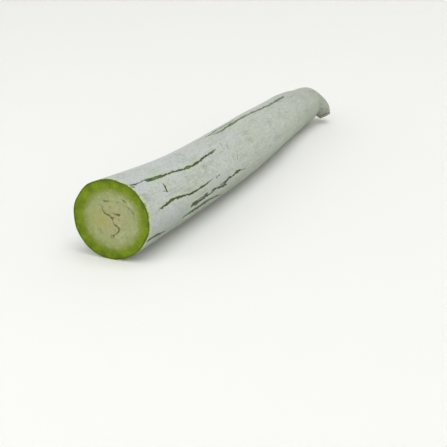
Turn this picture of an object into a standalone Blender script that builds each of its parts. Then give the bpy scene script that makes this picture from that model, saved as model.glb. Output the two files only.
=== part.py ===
"""Stalk end of a snake gourd, cut square across its thickest part and lying on its side.

The fruit grew as one piece, so it is one solid: the long bowed body with its soft ridges, the
rounded shoulder, the neck that hooks to the right and down, the stub of its stalk, and the cut face
with the clefts that opened in the pith. Metres, +Z up. X runs along the fruit from the cut to the
stalk, the surface it lies on is Z = 0, and the origin is the middle of its box on that surface.
"""

import math

import bmesh
import bpy
import numpy as np
from mathutils import Matrix, Vector

# The fruit's axis from the cut to the stalk's end, as distance along, bow to the left, clearance
# under the skin, and diameter. A clearance below zero presses the skin flat on the surface: the
# three such places carry the weight. The first station lies beyond the cut.
STATIONS = (
    (-0.0150, 0.0008, 0.0000, 0.0620),
    (0.0300, -0.0019, -0.0004, 0.0572),
    (0.0950, -0.0064, 0.0004, 0.0518),
    (0.1650, -0.0073, -0.0004, 0.0500),
    (0.2350, -0.0059, 0.0004, 0.0474),
    (0.3000, -0.0013, -0.0004, 0.0432),
    (0.3350, -0.0009, 0.0005, 0.0400),
    (0.3518, -0.0024, 0.0018, 0.0364),
    (0.3697, -0.0068, 0.0042, 0.0310),
    (0.3743, -0.0106, 0.0048, 0.0256),
    (0.3770, -0.0170, 0.0040, 0.0186),
    (0.3759, -0.0219, 0.0019, 0.0112),
)

# Soft ridges along the fruit, the ribs that they become on the stalk, and the slow unevenness of
# the skin: two waves, as lobes round the section, radians per metre along it, and a start
RIDGES = 10
FIRST_RIDGE = math.radians(120)
RIDGE_HEIGHT = 0.0002
STALK_RIBS = 5
STALK_RIB_HEIGHT = 0.0003
STALK_LENGTH = 0.014
LUMP_WAVES = ((2, 31.0, 0.0), (3, -53.0, 1.0))
LUMP_HEIGHT = 0.00015

# The underside stays even. It starts this far down the side and is full here, as parts of a radius
UNDERSIDE_FROM = 0.5
UNDERSIDE_FULL = 0.85

# The knife's cut: a point on it, its turn to the left and its lean back from upright
CUT_POINT = Vector((-0.0008, -0.0005, 0.0304))
CUT_TURN = math.radians(4.2)
CUT_LEAN = math.radians(5.0)

# Clefts in the pith, as lines on the cut face: to the right and up from its centre
LONG_CLEFT = (
    (-0.0078, 0.0080),
    (-0.0056, 0.0041),
    (-0.0022, 0.0030),
    (0.0006, 0.0016),
    (0.0011, -0.0007),
    (0.0028, -0.0036),
    (0.0050, -0.0059),
    (0.0056, -0.0084),
    (0.0033, -0.0110),
    (0.0011, -0.0134),
)
SIDE_CLEFT = ((0.0010, 0.0050), (0.0026, 0.0045), (0.0048, 0.0043), (0.0070, 0.0037))
CLEFT_WIDTH = 0.0012
CLEFT_DEPTH = 0.0040
CUTTER_PROUD = 0.0010

# How finely the skin is divided
SIDES = 60
BODY_RING_GAP = 0.008
RING_GAP_PER_RADIUS = 0.26

SKIN = {"colour": (0.50, 0.55, 0.48), "roughness": 0.62}
FLESH = {"colour": (0.36, 0.40, 0.16), "roughness": 0.48}
SHARP_ANGLE = math.radians(35)


def smooth_through(rows):
    """A function of run that gives the natural cubic curve through rows, and the whole run."""
    rows = np.array(rows)
    gaps = np.linalg.norm(np.diff(rows[:, :3], axis=0), axis=1)
    run = np.concatenate([[0.0], np.cumsum(gaps)])
    slopes = np.diff(rows, axis=0) / gaps[:, None]
    count = len(rows)
    system = np.eye(count)
    bends = np.zeros_like(rows)
    for i in range(1, count - 1):
        system[i, i - 1 : i + 2] = (gaps[i - 1], 2 * (gaps[i - 1] + gaps[i]), gaps[i])
        bends[i] = 6 * (slopes[i] - slopes[i - 1])
    bends = np.linalg.solve(system, bends)

    def at(place):
        i = min(int(np.searchsorted(run, place, side="right")) - 1, count - 2)
        gap = gaps[i]
        before = (run[i + 1] - place) / gap
        after = 1 - before
        curve = (before**3 - before) * bends[i] + (after**3 - after) * bends[i + 1]
        return before * rows[i] + after * rows[i + 1] + curve * gap**2 / 6

    return at, float(run[-1])


def fruit_axis():
    """The route of the axis as a function of run, giving x, y, height and radius."""
    rows = []
    for along, bow, clearance, diameter in STATIONS:
        rows.append((along, bow, diameter / 2 + clearance, diameter / 2))
    return smooth_through(rows)


def ring_places(at, length):
    """Runs of the rings: even along the body, closer where the neck narrows and bends."""
    places = [0.0]
    while places[-1] < length:
        radius = at(places[-1])[3]
        places.append(places[-1] + min(BODY_RING_GAP, RING_GAP_PER_RADIUS * radius))
    stretch = length / places[-1]
    return [place * stretch for place in places]


def smoothstep(low, high, value):
    t = min(max((value - low) / (high - low), 0.0), 1.0)
    return t * t * (3 - 2 * t)


def relief(angle, run, length):
    """How far the skin stands out from its round section. It is smooth where the fruit lies."""
    on_top = 1 - smoothstep(UNDERSIDE_FROM, UNDERSIDE_FULL, -math.sin(angle))
    stalk = smoothstep(length - STALK_LENGTH, length, run)
    ridges = RIDGE_HEIGHT * math.cos(RIDGES * (angle - FIRST_RIDGE))
    ribs = STALK_RIB_HEIGHT * math.cos(STALK_RIBS * angle)
    lumps = 0.0
    for lobes, turn, start in LUMP_WAVES:
        lumps += LUMP_HEIGHT * math.sin(lobes * angle + turn * run + start)
    return on_top * (1 - stalk) * (ridges + lumps) + stalk * ribs


def add_rings(mesh):
    """Rings of vertices square to the axis, each turned on from the last without a twist."""
    at, length = fruit_axis()
    step = 1e-4
    side = Vector((0, 1, 0))
    rings = []
    for run in ring_places(at, length):
        centre = Vector(at(run)[:3])
        radius = at(run)[3]
        ahead = Vector(at(min(run + step, length))[:3]) - Vector(at(max(run - step, 0))[:3])
        ahead.normalize()
        side = (side - ahead * side.dot(ahead)).normalized()
        up = ahead.cross(side)
        ring = []
        for k in range(SIDES):
            angle = 2 * math.pi * k / SIDES
            out = math.cos(angle) * side + math.sin(angle) * up
            ring.append(mesh.verts.new(centre + out * (radius + relief(angle, run, length))))
        rings.append(ring)
    return rings


def skin_between(mesh, rings):
    """Quads from ring to ring, and a flat face at each end."""
    for near, far in zip(rings, rings[1:]):
        for k in range(SIDES):
            n = (k + 1) % SIDES
            mesh.faces.new((near[k], near[n], far[n], far[k]))
    mesh.faces.new(rings[0][::-1])
    mesh.faces.new(rings[-1])


def cut_normal():
    level = Vector((-math.cos(CUT_TURN), -math.sin(CUT_TURN), math.tan(CUT_LEAN)))
    return level.normalized()


def cut_across(mesh):
    """Takes off what lies beyond the cut, and closes it with one flat face of flesh."""
    parts = mesh.verts[:] + mesh.edges[:] + mesh.faces[:]
    bmesh.ops.bisect_plane(
        mesh, geom=parts, plane_co=CUT_POINT, plane_no=cut_normal(), clear_outer=True
    )
    rim = [edge for edge in mesh.edges if edge.is_boundary]
    face = bmesh.ops.contextual_create(mesh, geom=rim)["faces"][0]
    face.material_index = 1


def press_on_surface(mesh):
    for vert in mesh.verts:
        vert.co.z = max(vert.co.z, 0.0)


def centre_on_origin(mesh):
    """Moves the fruit so that the middle of its box is at X = 0 and Y = 0. Returns the move."""
    places = np.array([vert.co for vert in mesh.verts])
    middle = (places.min(axis=0) + places.max(axis=0)) / 2
    move = Vector((-middle[0], -middle[1], 0))
    bmesh.ops.translate(mesh, verts=mesh.verts, vec=move)
    return move


def object_from(name, made, materials):
    data = bpy.data.meshes.new(name)
    bmesh.ops.recalc_face_normals(made, faces=made.faces)
    made.to_mesh(data)
    made.free()
    for material in materials:
        data.materials.append(material)
    data.shade_smooth()
    data.set_sharp_from_angle(angle=SHARP_ANGLE)
    obj = bpy.data.objects.new(name, data)
    bpy.context.scene.collection.objects.link(obj)
    return obj


def cleft_mesh(line):
    """A wedge along the line, pointed at both ends, with its edge down in the flesh at -Z."""
    mesh = bmesh.new()
    line = [Vector((*point, CUTTER_PROUD)) for point in line]
    first = mesh.verts.new(line[0])
    last = mesh.verts.new(line[-1])
    sections = []
    for i in range(1, len(line) - 1):
        ahead = (line[i + 1] - line[i - 1]).normalized()
        across = Vector((-ahead.y, ahead.x, 0))
        fullness = math.sqrt(math.sin(math.pi * i / (len(line) - 1)))
        half = across * fullness * CLEFT_WIDTH / 2
        keel = Vector((0, 0, -CUTTER_PROUD - fullness * CLEFT_DEPTH))
        places = (line[i] + half, line[i] - half, line[i] + keel)
        sections.append([mesh.verts.new(place) for place in places])
    for near, far in zip(sections, sections[1:]):
        for k in range(3):
            n = (k + 1) % 3
            mesh.faces.new((near[k], near[n], far[n], far[k]))
    for k in range(3):
        n = (k + 1) % 3
        mesh.faces.new((first, sections[0][n], sections[0][k]))
        mesh.faces.new((last, sections[-1][k], sections[-1][n]))
    return mesh


def cut_cleft(gourd, name, line, flesh, move):
    """Cuts one cleft into the face. The cutter lies on the face, with its own +Z out of it."""
    cutter = object_from(name, cleft_mesh(line), [flesh])
    out = cut_normal()
    right = Vector((0, 0, 1)).cross(out).normalized()
    up = out.cross(right)
    turn = Matrix((right, up, out)).transposed()
    cutter.rotation_euler = turn.to_euler()
    cutter.location = CUT_POINT + move
    cutter.hide_render = True
    cutter.display_type = "WIRE"
    cut = gourd.modifiers.new(name, "BOOLEAN")
    cut.operation = "DIFFERENCE"
    cut.solver = "EXACT"
    cut.object = cutter


def plain_material(name, look):
    material = bpy.data.materials.new(name)
    material.use_nodes = True
    shader = material.node_tree.nodes["Principled BSDF"]
    shader.inputs["Base Color"].default_value = (*look["colour"], 1)
    shader.inputs["Roughness"].default_value = look["roughness"]
    shader.inputs["Metallic"].default_value = 0
    return material


def main():
    for obj in list(bpy.data.objects):
        bpy.data.objects.remove(obj)
    skin = plain_material("gourd_skin", SKIN)
    flesh = plain_material("gourd_flesh", FLESH)
    mesh = bmesh.new()
    skin_between(mesh, add_rings(mesh))
    cut_across(mesh)
    press_on_surface(mesh)
    move = centre_on_origin(mesh)
    gourd = object_from("gourd", mesh, [skin, flesh])
    cut_cleft(gourd, "long_cleft_cutter", LONG_CLEFT, flesh, move)
    cut_cleft(gourd, "side_cleft_cutter", SIDE_CLEFT, flesh, move)


main()
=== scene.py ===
# %% [markdown]
# # A snake gourd, cut across and laid on its side
#
# This lesson dresses a plain solid of a snake gourd: the stalk end of the fruit, 39 cm long, cut
# square across where it is thickest. The solid gives the size and the place. Here it gets a finely
# divided skin with sunken streaks, a cut face with open clefts, and three materials. The whole
# fruit grew as one piece, so it stays one closed mesh.

# %% Load the plain solid as the frame
import math

import bpy
import numpy as np
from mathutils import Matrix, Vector


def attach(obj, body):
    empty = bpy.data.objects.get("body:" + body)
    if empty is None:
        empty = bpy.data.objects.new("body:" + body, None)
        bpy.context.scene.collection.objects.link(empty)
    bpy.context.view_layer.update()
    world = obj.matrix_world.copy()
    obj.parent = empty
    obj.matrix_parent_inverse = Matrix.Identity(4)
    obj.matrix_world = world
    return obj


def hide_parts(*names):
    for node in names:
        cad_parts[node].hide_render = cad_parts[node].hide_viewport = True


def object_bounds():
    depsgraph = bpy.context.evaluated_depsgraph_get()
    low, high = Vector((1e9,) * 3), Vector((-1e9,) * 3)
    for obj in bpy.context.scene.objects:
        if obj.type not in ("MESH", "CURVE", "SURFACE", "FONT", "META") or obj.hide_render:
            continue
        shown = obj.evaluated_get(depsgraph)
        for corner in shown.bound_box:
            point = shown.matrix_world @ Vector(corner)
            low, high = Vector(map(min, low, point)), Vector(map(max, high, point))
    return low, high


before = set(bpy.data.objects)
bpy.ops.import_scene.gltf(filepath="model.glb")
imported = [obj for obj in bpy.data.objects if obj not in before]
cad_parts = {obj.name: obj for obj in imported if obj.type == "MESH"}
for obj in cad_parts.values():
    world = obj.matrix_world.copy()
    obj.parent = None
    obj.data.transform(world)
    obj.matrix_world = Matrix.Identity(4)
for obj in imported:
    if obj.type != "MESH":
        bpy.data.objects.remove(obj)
solid_low, solid_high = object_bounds()
print("the solid measures", [round(side * 1000, 1) for side in solid_high - solid_low], "mm")

# %% [markdown]
# ## The axis of the fruit
#
# A gourd is a tube with a changing thickness, so a line through its middle and a radius at each
# place say nearly everything about it. The line could be drawn by hand with Bezier handles. Here it
# is the same natural cubic curve through the same twelve stations as the solid's, because the skin
# then lies where the solid is, also round the hook of the neck.

# %% Stations of the axis
STATIONS = (  # along, bow to the left, clearance under the skin, diameter, in metres
    (-0.0150, 0.0008, 0.0000, 0.0620),
    (0.0300, -0.0019, -0.0004, 0.0572),
    (0.0950, -0.0064, 0.0004, 0.0518),
    (0.1650, -0.0073, -0.0004, 0.0500),
    (0.2350, -0.0059, 0.0004, 0.0474),
    (0.3000, -0.0013, -0.0004, 0.0432),
    (0.3350, -0.0009, 0.0005, 0.0400),
    (0.3518, -0.0024, 0.0018, 0.0364),
    (0.3697, -0.0068, 0.0042, 0.0310),
    (0.3743, -0.0106, 0.0048, 0.0256),
    (0.3770, -0.0170, 0.0040, 0.0186),
    (0.3759, -0.0219, 0.0019, 0.0112),
)
AXIS_POINTS = 700


def smooth_through(rows, count):
    """Points of the natural cubic curve through rows, evenly spread over the chords between them."""
    rows = np.array(rows)
    gaps = np.linalg.norm(np.diff(rows[:, :3], axis=0), axis=1)
    run = np.concatenate([[0.0], np.cumsum(gaps)])
    slopes = np.diff(rows, axis=0) / gaps[:, None]
    system = np.eye(len(rows))
    bends = np.zeros_like(rows)
    for i in range(1, len(rows) - 1):
        system[i, i - 1 : i + 2] = (gaps[i - 1], 2 * (gaps[i - 1] + gaps[i]), gaps[i])
        bends[i] = 6 * (slopes[i] - slopes[i - 1])
    bends = np.linalg.solve(system, bends)
    places = np.linspace(0, run[-1], count)
    i = np.clip(np.searchsorted(run, places, side="right") - 1, 0, len(gaps) - 1)
    gap = gaps[i][:, None]
    before = (run[i + 1] - places)[:, None] / gap
    after = 1 - before
    curve = (before**3 - before) * bends[i] + (after**3 - after) * bends[i + 1]
    return before * rows[i] + after * rows[i + 1] + curve * gap**2 / 6


rows = [(x, y, wide / 2 + clear, wide / 2) for x, y, clear, wide in STATIONS]
axis_rows = smooth_through(rows, AXIS_POINTS)
axis_steps = np.linalg.norm(np.diff(axis_rows[:, :3], axis=0), axis=1)
axis_run = np.concatenate([[0.0], np.cumsum(axis_steps)])
axis_length = float(axis_run[-1])
print(f"the axis is {axis_length * 1000:.1f} mm long, with the part beyond the cut")

# %% [markdown]
# ## Lines that the tree follows
#
# The axis, the streaks of the skin and the clefts of the pith are all lines with a width. A Blender
# curve holds such a line: its points carry a radius, and Geometry Nodes can read both. The streaks
# are drawn on the skin as if it were unrolled flat, because a streak is then almost straight.

# %% Helpers for objects
MM = 0.001


def new_object(name, data):
    """An object of this data, in the scene."""
    obj = bpy.data.objects.new(name, data)
    bpy.context.scene.collection.objects.link(obj)
    return obj


def curve_object(name, lines):
    """A curve object of straight-sided lines. A line is a list of (place, radius)."""
    data = bpy.data.curves.new(name, "CURVE")
    data.dimensions = "3D"
    for line in lines:
        spline = data.splines.new("POLY")
        spline.points.add(len(line) - 1)
        for point, (place, radius) in zip(spline.points, line):
            point.co = (*place, 1)
            point.radius = radius
    return new_object(name, data)


axis_curve = curve_object("fruit_axis", [[(row[:3], row[3]) for row in axis_rows]])
print("the axis curve has", len(axis_curve.data.splines[0].points), "points")

# %% [markdown]
# Snake gourds have lengthwise streaks where the white bloom is missing and the dark green rind
# shows. They start and stop, swell to blunt spots, split in two and thin out. Random lines would
# look like scratches, so each streak is drawn in three numbers a point: how far along the fruit
# in millimetres, how far round it in degrees (90 is the top, 180 the right side as seen from the
# cut), and half its width in millimetres. The side that the picture doesn't show gets streaks of
# the same kind.

# %% Streaks on the shown side
STREAKS = {
    "upper, faint start": (
        (18.3, 114.3, 0.45), (20.9, 115.9, 0.65), (24.7, 117.3, 0.65), (28.9, 117.0, 0.6),
        (34.4, 116.3, 0.45), (37.2, 116.7, 0.4),
    ),
    "beside the rim": ((17.5, 117.4, 0.5), (18.6, 119.2, 0.8), (19.9, 120.9, 0.6)),
    "upper": (
        (38.3, 117.4, 1.5), (40.3, 118.6, 2.0), (43.6, 119.4, 1.95), (47.5, 119.6, 1.7),
        (51.6, 119.7, 1.5), (56.2, 120.1, 1.3), (60.1, 120.7, 0.85), (65.1, 121.7, 0.75),
        (69.6, 122.3, 0.85), (73.7, 122.6, 0.9), (77.5, 124.6, 0.6), (81.6, 125.9, 0.65),
        (85.3, 127.1, 0.8), (88.4, 126.8, 1.3), (92.5, 126.9, 1.65), (96.4, 127.0, 1.22),
        (99.5, 127.7, 1.1), (104.0, 126.9, 1.0), (108.6, 125.7, 0.9), (112.9, 125.7, 0.75),
        (118.4, 124.0, 0.72), (123.0, 123.3, 0.72), (126.2, 124.2, 0.62), (131.6, 123.1, 0.62),
        (136.6, 122.2, 0.52), (141.3, 121.5, 0.25),
    ),
    "side": (
        (33.6, 164.6, 0.3), (37.7, 163.6, 0.95), (42.1, 163.3, 0.9), (46.7, 162.6, 0.95),
        (50.3, 161.6, 0.9), (54.0, 161.1, 1.1), (57.5, 161.6, 1.2), (61.8, 162.8, 1.15),
        (66.1, 163.9, 1.0), (70.4, 165.2, 0.85), (74.6, 166.8, 0.75), (78.9, 168.1, 0.7),
        (83.6, 167.9, 0.75), (88.2, 167.9, 0.85), (92.8, 168.1, 0.6), (97.5, 168.1, 0.7),
        (102.3, 167.8, 0.65), (106.1, 167.4, 0.6), (109.7, 165.8, 0.4), (114.9, 164.0, 0.25),
    ),
    "side, dot": ((120.8, 164.4, 0.5), (121.4, 168.3, 0.6)),
    "lower": (
        (80.9, 188.8, 1.6), (83.2, 187.8, 2.0), (86.2, 187.7, 1.9), (89.8, 188.6, 1.35),
        (93.6, 189.5, 1.15), (98.4, 189.4, 1.15), (103.2, 189.4, 1.15), (108.1, 189.4, 1.0),
        (112.2, 189.2, 0.5), (115.4, 189.5, 0.25),
    ),
    "lower, upper strand": (
        (89.3, 185.0, 0.3), (94.1, 185.2, 0.5), (98.1, 185.1, 0.4), (102.9, 184.6, 0.6),
        (105.8, 184.4, 0.3),
    ),
    "lower, middle": (
        (112.3, 185.3, 0.3), (115.1, 185.3, 0.95), (119.0, 185.9, 0.9), (121.6, 186.2, 0.3),
    ),
    "lower, far": (
        (122.5, 187.5, 0.6), (127.1, 189.7, 1.35), (132.2, 190.8, 1.35), (137.8, 191.6, 0.6),
    ),
    "lower, far strand": (
        (127.5, 185.0, 0.4), (133.1, 183.9, 0.7), (139.3, 182.7, 0.8), (142.9, 182.4, 1.05),
        (146.4, 183.9, 0.5),
    ),
    "lower, end": (
        (147.9, 183.9, 0.6), (151.6, 182.2, 1.05), (156.5, 180.3, 1.35), (161.1, 180.8, 1.25),
        (163.8, 181.9, 0.5), (169.5, 183.7, 0.3), (174.5, 185.8, 0.15),
    ),
    "low, near the cut": (
        (19.5, 205.2, 1.0), (24.0, 205.4, 1.75), (30.0, 205.8, 2.0), (36.0, 206.3, 1.8),
        (42.0, 207.5, 0.9), (47.6, 210.0, 0.3),
    ),
    "low": (
        (70.5, 203.6, 0.6), (75.5, 203.1, 1.4), (81.1, 202.8, 1.9), (88.0, 202.8, 2.0),
        (96.0, 202.9, 2.0), (105.0, 203.3, 1.9), (114.0, 204.4, 1.4), (125.1, 207.3, 0.9),
        (138.0, 215.0, 0.2),
    ),
    "top": (
        (146.0, 76.9, 0.25), (152.7, 77.2, 0.45), (160.3, 80.0, 0.5), (164.0, 82.8, 0.5),
        (168.0, 86.0, 0.55), (173.0, 88.0, 0.6), (179.8, 89.2, 0.65), (186.0, 88.0, 0.75),
        (193.0, 86.8, 1.5), (200.3, 86.0, 1.75), (207.8, 86.0, 1.55), (216.3, 85.6, 1.35),
        (226.9, 85.0, 1.35), (236.9, 85.8, 1.45), (244.3, 87.2, 1.5), (252.7, 89.0, 1.3),
        (260.4, 90.8, 1.3), (271.7, 92.4, 1.25), (280.9, 94.3, 1.3), (294.3, 94.3, 1.4),
        (305.8, 94.6, 1.45), (315.6, 95.3, 1.3), (323.0, 96.5, 0.8),
    ),
    "beside the top": (
        (158.5, 78.9, 0.5), (169.5, 78.0, 1.0), (177.2, 77.0, 1.15), (186.6, 76.0, 1.15),
        (193.9, 75.8, 1.05), (202.7, 75.4, 0.9), (211.9, 74.5, 0.7), (219.6, 74.0, 0.3),
    ),
    "tick": ((53.3, 133.4, 0.5), (52.9, 138.6, 0.85), (52.4, 143.4, 0.85), (52.0, 146.8, 0.55)),
    "tick, foot": ((47.5, 144.0, 0.3), (50.4, 146.4, 0.4)),
    "spot": ((124.1, 165.3, 0.4), (126.5, 165.1, 0.4)),
    "scratch 1": ((155.1, 112.8, 0.17), (152.4, 120.6, 0.34), (151.1, 127.6, 0.17)),
    "scratch 2": ((160.8, 120.8, 0.17), (158.3, 128.1, 0.34), (156.4, 134.0, 0.17)),
    "scratch 3": ((158.3, 143.6, 0.17), (156.1, 150.8, 0.36), (154.7, 156.0, 0.17)),
    "scratch 4": ((163.4, 148.4, 0.17), (161.8, 154.7, 0.34), (160.8, 158.0, 0.17)),
    "scratch 5": ((108.3, 135.6, 0.17), (107.9, 138.1, 0.3), (107.5, 140.3, 0.17)),
    "scratch 6": ((111.8, 134.8, 0.17), (110.9, 137.7, 0.3), (110.1, 140.5, 0.17)),
    "scratch 7": ((114.9, 136.0, 0.17), (113.8, 139.8, 0.32), (112.7, 143.7, 0.17)),
    "scratch 8": ((109.5, 142.9, 0.17), (109.0, 145.8, 0.3), (108.8, 148.4, 0.17)),
}
print(len(STREAKS), "streaks are drawn on the shown side")

# %% Streaks on the hidden sides
STREAKS.update({
    "left, upper": (
        (60, 47.0, 0.3), (68, 46.2, 0.8), (76, 46.4, 1.15), (84, 47.6, 0.9), (92, 48.5, 0.8),
        (101, 50.3, 1.0), (110, 50.5, 0.6), (131, 49.0, 0.25),
    ),
    "left, upper far": (
        (208, 52.0, 0.25), (217, 50.2, 0.7), (226, 49.5, 0.9), (247, 51.0, 0.5), (263, 53.0, 0.2),
    ),
    "left, side": (
        (96, 12.0, 0.3), (104, 13.4, 1.1), (112, 14.0, 1.3), (119, 13.6, 0.9), (131, 13.0, 0.8),
        (141, 11.4, 1.0), (150, 10.5, 0.7), (172, 11.0, 0.6), (189, 13.5, 0.25),
    ),
    "left, low": (
        (38, -24.0, 0.3), (47, -22.6, 0.9), (55, -22.0, 1.2), (64, -23.0, 0.8), (76, -23.5, 0.6),
        (98, -21.0, 0.25),
    ),
    "left, low far": (
        (170, -22.0, 0.3), (190, -24.5, 0.9), (201, -23.1, 0.7), (214, -22.0, 0.6),
        (236, -24.0, 0.2),
    ),
    "left, far": ((252, 18.0, 0.25), (266, 16.2, 0.7), (281, 17.0, 0.6), (303, 20.0, 0.25)),
    "under, left": ((120, -57.0, 0.2), (150, -55.0, 0.6), (186, -58.0, 0.55), (205, -56.0, 0.15)),
    "under, right": ((108, 236.0, 0.2), (131, 233.0, 0.6), (160, 235.0, 0.7), (188, 237.0, 0.2)),
    "under, right far": ((236, 232.0, 0.2), (258, 235.0, 0.6), (287, 233.0, 0.2)),
})
WORK_RADIUS = 0.025  # the unrolled skin is as wide as a fruit with this radius


def unrolled(points):
    """A streak's points on the unrolled skin, each with its half width, in metres."""
    line = []
    for along, round_it, half_width in points:
        place = (along * MM, math.radians(round_it) * WORK_RADIUS, 0)
        line.append((place, half_width * MM))
    return line


streak_curve = curve_object("streak_lines", [unrolled(points) for points in STREAKS.values()])
print(len(streak_curve.data.splines), "streaks are drawn in all")

# %% [markdown]
# The knife went across at a slight turn and lean. The pith in the middle has cracked open along a
# long S and a short branch, as drying pith does. These two clefts are in the solid too. Small pits
# and torn fibres lie in an oval round them, where the seeds were attached. All are drawn on the cut
# face, in three numbers a point: to the right and up from its centre, and half the width.

# %% The cut and its clefts
CUT_POINT = Vector((-0.0008, -0.0005, 0.0304))
CUT_TURN = math.radians(4.2)
CUT_LEAN = math.radians(5.0)
CLEFTS = {  # in millimetres
    "long cleft": (
        (-7.7, 9.2, 0.15), (-7.3, 7.4, 0.45), (-7.0, 6.1, 0.4), (-6.0, 3.8, 0.6),
        (-3.9, 3.0, 0.55), (-1.9, 2.7, 0.65), (-0.7, 2.1, 0.45), (0.6, 1.1, 0.8),
        (0.7, -0.4, 0.22), (1.0, -1.6, 0.18), (2.3, -3.7, 0.5), (4.2, -4.5, 0.6), (5.5, -5.9, 0.6),
        (5.8, -7.5, 0.5), (5.2, -9.2, 0.75), (3.9, -10.5, 0.5), (2.1, -11.0, 0.4),
        (1.2, -12.6, 0.6), (1.5, -14.4, 0.2),
    ),
    "side cleft": (
        (0.9, 5.1, 0.25), (2.0, 4.6, 0.45), (3.7, 4.1, 0.55), (5.6, 3.7, 0.9), (7.1, 4.6, 0.25),
    ),
    "upper pit": ((-6.6, 13.2, 0.3), (-5.0, 12.6, 0.5), (-3.5, 12.9, 0.75), (-2.2, 13.7, 0.25)),
    "right pit": ((8.6, 15.9, 0.3), (9.5, 15.2, 0.75), (10.3, 14.5, 0.5), (11.3, 13.8, 0.25)),
    "right fibre": (
        (13.5, 10.4, 0.5), (14.5, 9.9, 0.3), (15.9, 8.6, 0.22), (17.4, 6.4, 0.5),
        (17.8, 4.8, 0.25),
    ),
    "upper branch": ((-7.2, 7.0, 0.25), (-8.3, 8.6, 0.3), (-9.6, 9.5, 0.35), (-10.4, 9.6, 0.15)),
    "left branch": ((-6.0, 3.8, 0.25), (-5.0, 5.6, 0.22), (-4.2, 6.4, 0.12)),
    "middle branch": ((0.6, 1.1, 0.3), (1.9, 1.9, 0.22), (2.4, 2.8, 0.12)),
    "knee branch": ((5.8, -7.3, 0.25), (7.2, -7.0, 0.2), (8.0, -6.2, 0.12)),
    "foot branch": (
        (2.1, -11.0, 0.3), (0.1, -11.6, 0.25), (-0.5, -13.6, 0.35), (-0.4, -14.4, 0.15),
    ),
    "low fibre": ((7.2, -11.6, 0.15), (8.3, -12.4, 0.35), (8.9, -13.2, 0.15)),
    "upper fibres": ((-2.3, 9.2, 0.15), (-1.6, 8.6, 0.35), (0.3, 8.3, 0.2)),
    "top fibres": ((3.6, 13.8, 0.15), (4.9, 13.5, 0.32), (6.3, 13.6, 0.15)),
    "high fibres": ((-7.9, 14.2, 0.12), (-6.6, 14.8, 0.25), (-5.2, 15.0, 0.12)),
    "small pit": ((5.5, 0.8, 0.25), (5.8, 0.2, 0.3)),
}
cut_out = Vector((-math.cos(CUT_TURN), -math.sin(CUT_TURN), math.tan(CUT_LEAN))).normalized()
cut_right = Vector((0, 0, 1)).cross(cut_out).normalized()
cut_up = cut_out.cross(cut_right)

cleft_lines = []
for points in CLEFTS.values():
    cleft_lines.append([((right * MM, up * MM, 0), half * MM) for right, up, half in points])
cleft_curve = curve_object("cleft_lines", cleft_lines)
print(len(cleft_curve.data.splines), "lines are drawn on the cut face")

# %% [markdown]
# Rings near the knife's cut have to lean with it, or the edge would be a staircase. The tree needs
# to know where the axis meets the cut, and how far a line along the skin has to be shortened on
# each side of it. Both follow from the plane of the cut.

# %% Where the axis meets the cut
beyond = (axis_rows[:, :3] - np.array(CUT_POINT)) @ np.array(cut_out)
crossing = int(np.argmax(beyond < 0))
share = beyond[crossing - 1] / (beyond[crossing - 1] - beyond[crossing])
cut_row = axis_rows[crossing - 1] + share * (axis_rows[crossing] - axis_rows[crossing - 1])
cut_run = axis_run[crossing - 1] + share * axis_steps[crossing - 1]
cut_centre = Vector(cut_row[:3])
ahead = Vector(axis_rows[crossing, :3] - axis_rows[crossing - 1, :3]).normalized()
side = (Vector((0, 1, 0)) - ahead * ahead.y).normalized()
above = ahead.cross(side)
lean_per_side = -cut_row[3] * cut_out.dot(side) / cut_out.dot(ahead)
lean_per_up = -cut_row[3] * cut_out.dot(above) / cut_out.dot(ahead)
stalk_end = Vector(axis_rows[-1, :3])
stalk_ahead = Vector(axis_rows[-1, :3] - axis_rows[-2, :3]).normalized()
print(f"the cut is at {cut_run * 1000:.1f} mm and leans {lean_per_up * 2000:.1f} mm over its height")

# %% [markdown]
# ## The tree that grows the gourd
#
# The gourd could be sculpted, or lofted by a modifier such as Skin. Geometry Nodes suit it better,
# because the shape follows a rule: start with a plain closed cylinder, and send each of its points
# to the place on the fruit that has the same share of the length and the same angle. One helper
# adds a node with its settings and links, and takes its inputs in the order of the sockets. So a
# Map Range gets a value, the two limits that it is read between, and what they turn into. A noise
# gets a place, a seed where it has one, and its scale, detail and roughness.

# %% The helper that adds nodes
MAP_RANGE = "ShaderNodeMapRange"
SMOOTH = {"interpolation_type": "SMOOTHSTEP"}
COMBINE = "ShaderNodeCombineXYZ"
SEPARATE = "ShaderNodeSeparateXYZ"
NOISE = "ShaderNodeTexNoise"
SEEDED = {"noise_dimensions": "4D"}  # the fourth number is the seed
MIX = "ShaderNodeMix"
STORE = "GeometryNodeStoreNamedAttribute"


def linear(hex_colour):
    """A linear RGBA colour from an sRGB hex value such as 8FA04A."""
    values = [int(hex_colour[i : i + 2], 16) / 255 for i in (0, 2, 4)]
    turned = [v / 12.92 if v <= 0.04045 else ((v + 0.055) / 1.055) ** 2.4 for v in values]
    return (*turned, 1.0)


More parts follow.
